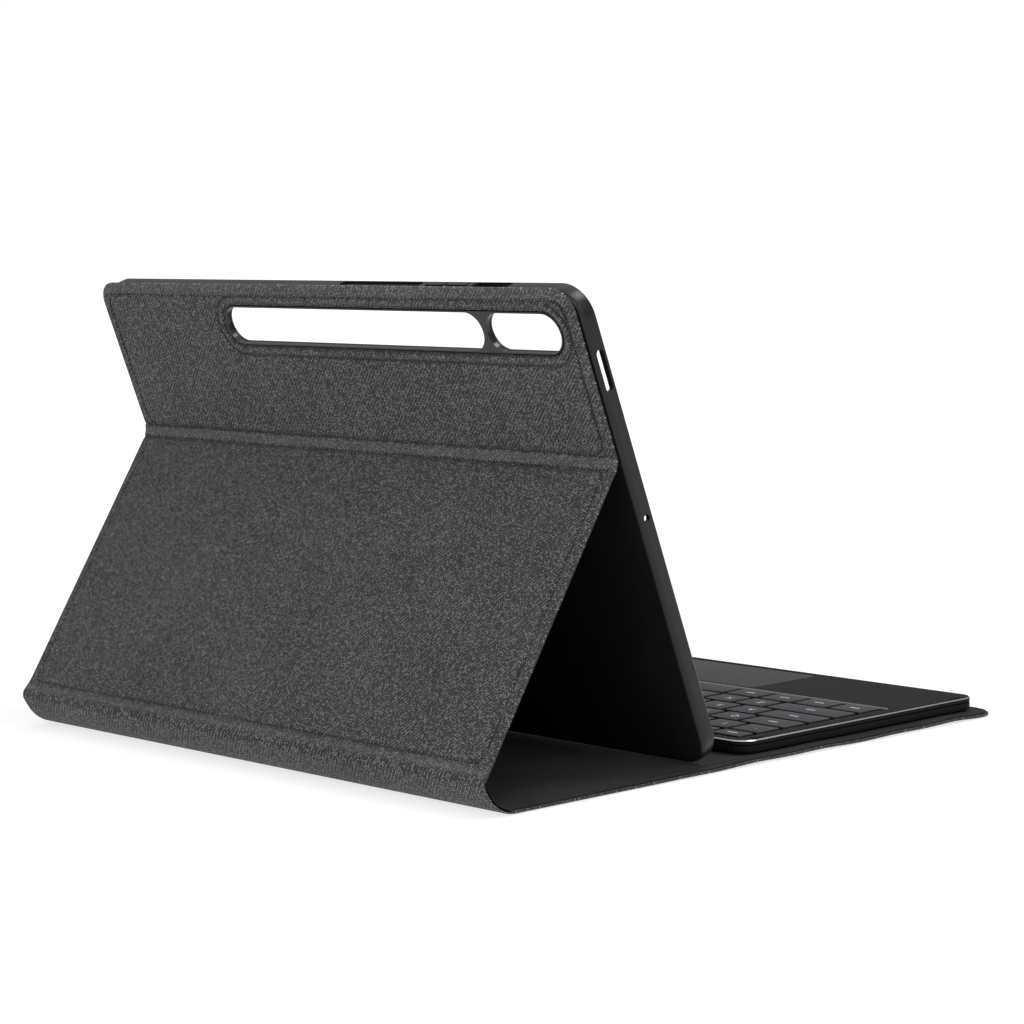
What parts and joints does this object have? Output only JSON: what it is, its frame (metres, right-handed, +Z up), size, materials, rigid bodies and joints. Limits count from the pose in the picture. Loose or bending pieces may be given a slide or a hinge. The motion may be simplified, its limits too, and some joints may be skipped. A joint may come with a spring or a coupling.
{
  "type": "tablet keyboard case",
  "caption": "Folio tablet case standing open as an easel, with a slim tray, a pen and camera window and a detachable keyboard with a touchpad",
  "frame": {"origin": "centre of the footprint, on the table", "axes": "+X across the case to the user's right, -Y towards the user, +Z up"},
  "size_m": [0.305, 0.2958, 0.1941],
  "materials": {
    "cover_fabric": "woven twill, dark grey heather",
    "lining_fabric": "black microfibre",
    "board": null,
    "adhesive": "matt",
    "soft_shell": "satin moulded soft plastic",
    "window_gloss": "glossy",
    "keyboard_plastic": "satin moulded",
    "key_plastic": "fine matt",
    "touchpad_plastic": "smooth satin",
    "rubber": "matt",
    "steel": "plain",
    "magnet": "nickel plated",
    "circuit": "solder mask",
    "battery": "foil pouch",
    "lamp": "frosted"
  },
  "bodies": {
    "base": {"base_cover": "cover_fabric", "base_board": "board", "base_lining": "lining_fabric", "base_magnet_1": "magnet", "base_magnet_2": "magnet", "base_magnet_3": "magnet", "base_magnet_4": "magnet"},
    "spine": {"spine_cover": "cover_fabric", "spine_board": "board", "spine_lining": "lining_fabric"},
    "leg": {"leg_cover": "cover_fabric", "leg_board": "board", "leg_lining": "lining_fabric"},
    "tray": {"upper_cover": "cover_fabric", "upper_board": "board", "tray_adhesive": "adhesive", "tray_shell": "soft_shell", "window_frame": "window_gloss"},
    "volume_up": {"volume_up_button": "soft_shell"},
    "volume_down": {"volume_down_button": "soft_shell"},
    "keyboard": {"keyboard_bottom_shell": "keyboard_plastic", "keyboard_deck": "keyboard_plastic", "key_plate": "steel", "circuit_board": "circuit", "battery": "battery", "keyboard_magnet_1": "magnet", "keyboard_magnet_2": "magnet", "usb_c_port": "steel", "status_lamp_lens": "lamp", "keyboard_foot_1": "rubber", "keyboard_foot_2": "rubber", "keyboard_foot_3": "rubber", "keyboard_foot_4": "rubber", "rubber_bumper_1": "rubber", "rubber_bumper_2": "rubber", "rubber_bumper_3": "rubber", "rubber_bumper_4": "rubber", "shell_screw_1": "steel", "shell_screw_2": "steel", "shell_screw_3": "steel", "shell_screw_4": "steel", "shell_screw_5": "steel", "shell_screw_6": "steel"},
    "touchpad": {"touchpad": "touchpad_plastic"},
    "power_switch": {"power_switch": "key_plastic"},
    "function_keys": {"function_keys": "key_plastic"},
    "number_keys": {"number_keys": "key_plastic"},
    "top_letter_keys": {"top_letter_keys": "key_plastic"},
    "home_letter_keys": {"home_letter_keys": "key_plastic"},
    "bottom_letter_keys": {"bottom_letter_keys": "key_plastic"},
    "left_modifier_keys": {"left_modifier_keys": "key_plastic"},
    "right_modifier_keys": {"right_modifier_keys": "key_plastic"},
    "backspace_key": {"backspace_key": "key_plastic"},
    "tab_key": {"tab_key": "key_plastic"},
    "caps_key": {"caps_key": "key_plastic"},
    "enter_key": {"enter_key": "key_plastic"},
    "left_shift_key": {"left_shift_key": "key_plastic"},
    "right_shift_key": {"right_shift_key": "key_plastic"},
    "space_bar": {"space_bar": "key_plastic"}
  },
  "joints": [
    {"name": "spine_fold", "type": "hinge", "parent": "base", "child": "spine", "pos_m": [0, 0.1345, 0.00105], "axis": [1, 0, 0], "range_deg": [-47.3, 0]},
    {"name": "leg_fold", "type": "hinge", "parent": "spine", "child": "leg", "pos_m": [0, 0.14743, 0.01497], "axis": [1, 0, 0], "range_deg": [-75.3, 0]},
    {"name": "tray_fold", "type": "hinge", "parent": "leg", "child": "tray", "pos_m": [0, 0.07745, 0.12524], "axis": [1, 0, 0], "range_deg": [0, 52.5]},
    {"name": "volume_up_press", "type": "slide", "parent": "tray", "child": "volume_up", "axis": [0, -0.3404, -0.9403], "range_m": [0, 0.0004], "stiffness_N_per_m": 1500},
    {"name": "volume_down_press", "type": "slide", "parent": "tray", "child": "volume_down", "axis": [0, -0.3404, -0.9403], "range_m": [0, 0.0004], "stiffness_N_per_m": 1500},
    {"name": "keyboard_lift", "type": "slide", "parent": "base", "child": "keyboard", "axis": [0, 0, 1], "range_m": [0, 0.03]},
    {"name": "touchpad_click", "type": "slide", "parent": "keyboard", "child": "touchpad", "axis": [0, 0, -1], "range_m": [0, 0.0003], "stiffness_N_per_m": 2500},
    {"name": "power_switch_slide", "type": "slide", "parent": "keyboard", "child": "power_switch", "axis": [0, 1, 0], "range_m": [0, 0.0035]},
    {"name": "function_keys_press", "type": "slide", "parent": "keyboard", "child": "function_keys", "axis": [0, 0, -1], "range_m": [0, 0.0012], "stiffness_N_per_m": 600},
    {"name": "number_keys_press", "type": "slide", "parent": "keyboard", "child": "number_keys", "axis": [0, 0, -1], "range_m": [0, 0.0012], "stiffness_N_per_m": 600},
    {"name": "top_letter_keys_press", "type": "slide", "parent": "keyboard", "child": "top_letter_keys", "axis": [0, 0, -1], "range_m": [0, 0.0012], "stiffness_N_per_m": 600},
    {"name": "home_letter_keys_press", "type": "slide", "parent": "keyboard", "child": "home_letter_keys", "axis": [0, 0, -1], "range_m": [0, 0.0012], "stiffness_N_per_m": 600},
    {"name": "bottom_letter_keys_press", "type": "slide", "parent": "keyboard", "child": "bottom_letter_keys", "axis": [0, 0, -1], "range_m": [0, 0.0012], "stiffness_N_per_m": 600},
    {"name": "left_modifier_keys_press", "type": "slide", "parent": "keyboard", "child": "left_modifier_keys", "axis": [0, 0, -1], "range_m": [0, 0.0012], "stiffness_N_per_m": 600},
    {"name": "right_modifier_keys_press", "type": "slide", "parent": "keyboard", "child": "right_modifier_keys", "axis": [0, 0, -1], "range_m": [0, 0.0012], "stiffness_N_per_m": 600},
    {"name": "backspace_key_press", "type": "slide", "parent": "keyboard", "child": "backspace_key", "axis": [0, 0, -1], "range_m": [0, 0.0012], "stiffness_N_per_m": 600},
    {"name": "tab_key_press", "type": "slide", "parent": "keyboard", "child": "tab_key", "axis": [0, 0, -1], "range_m": [0, 0.0012], "stiffness_N_per_m": 600},
    {"name": "caps_key_press", "type": "slide", "parent": "keyboard", "child": "caps_key", "axis": [0, 0, -1], "range_m": [0, 0.0012], "stiffness_N_per_m": 600},
    {"name": "enter_key_press", "type": "slide", "parent": "keyboard", "child": "enter_key", "axis": [0, 0, -1], "range_m": [0, 0.0012], "stiffness_N_per_m": 600},
    {"name": "left_shift_key_press", "type": "slide", "parent": "keyboard", "child": "left_shift_key", "axis": [0, 0, -1], "range_m": [0, 0.0012], "stiffness_N_per_m": 600},
    {"name": "right_shift_key_press", "type": "slide", "parent": "keyboard", "child": "right_shift_key", "axis": [0, 0, -1], "range_m": [0, 0.0012], "stiffness_N_per_m": 600},
    {"name": "space_bar_press", "type": "slide", "parent": "keyboard", "child": "space_bar", "axis": [0, 0, -1], "range_m": [0, 0.0012], "stiffness_N_per_m": 600}
  ],
  "couplings": [
    {"joint": "spine_fold", "follows": "leg_fold", "ratio": 0.6255},
    {"joint": "tray_fold", "follows": "leg_fold", "ratio": -0.69456}
  ]
}
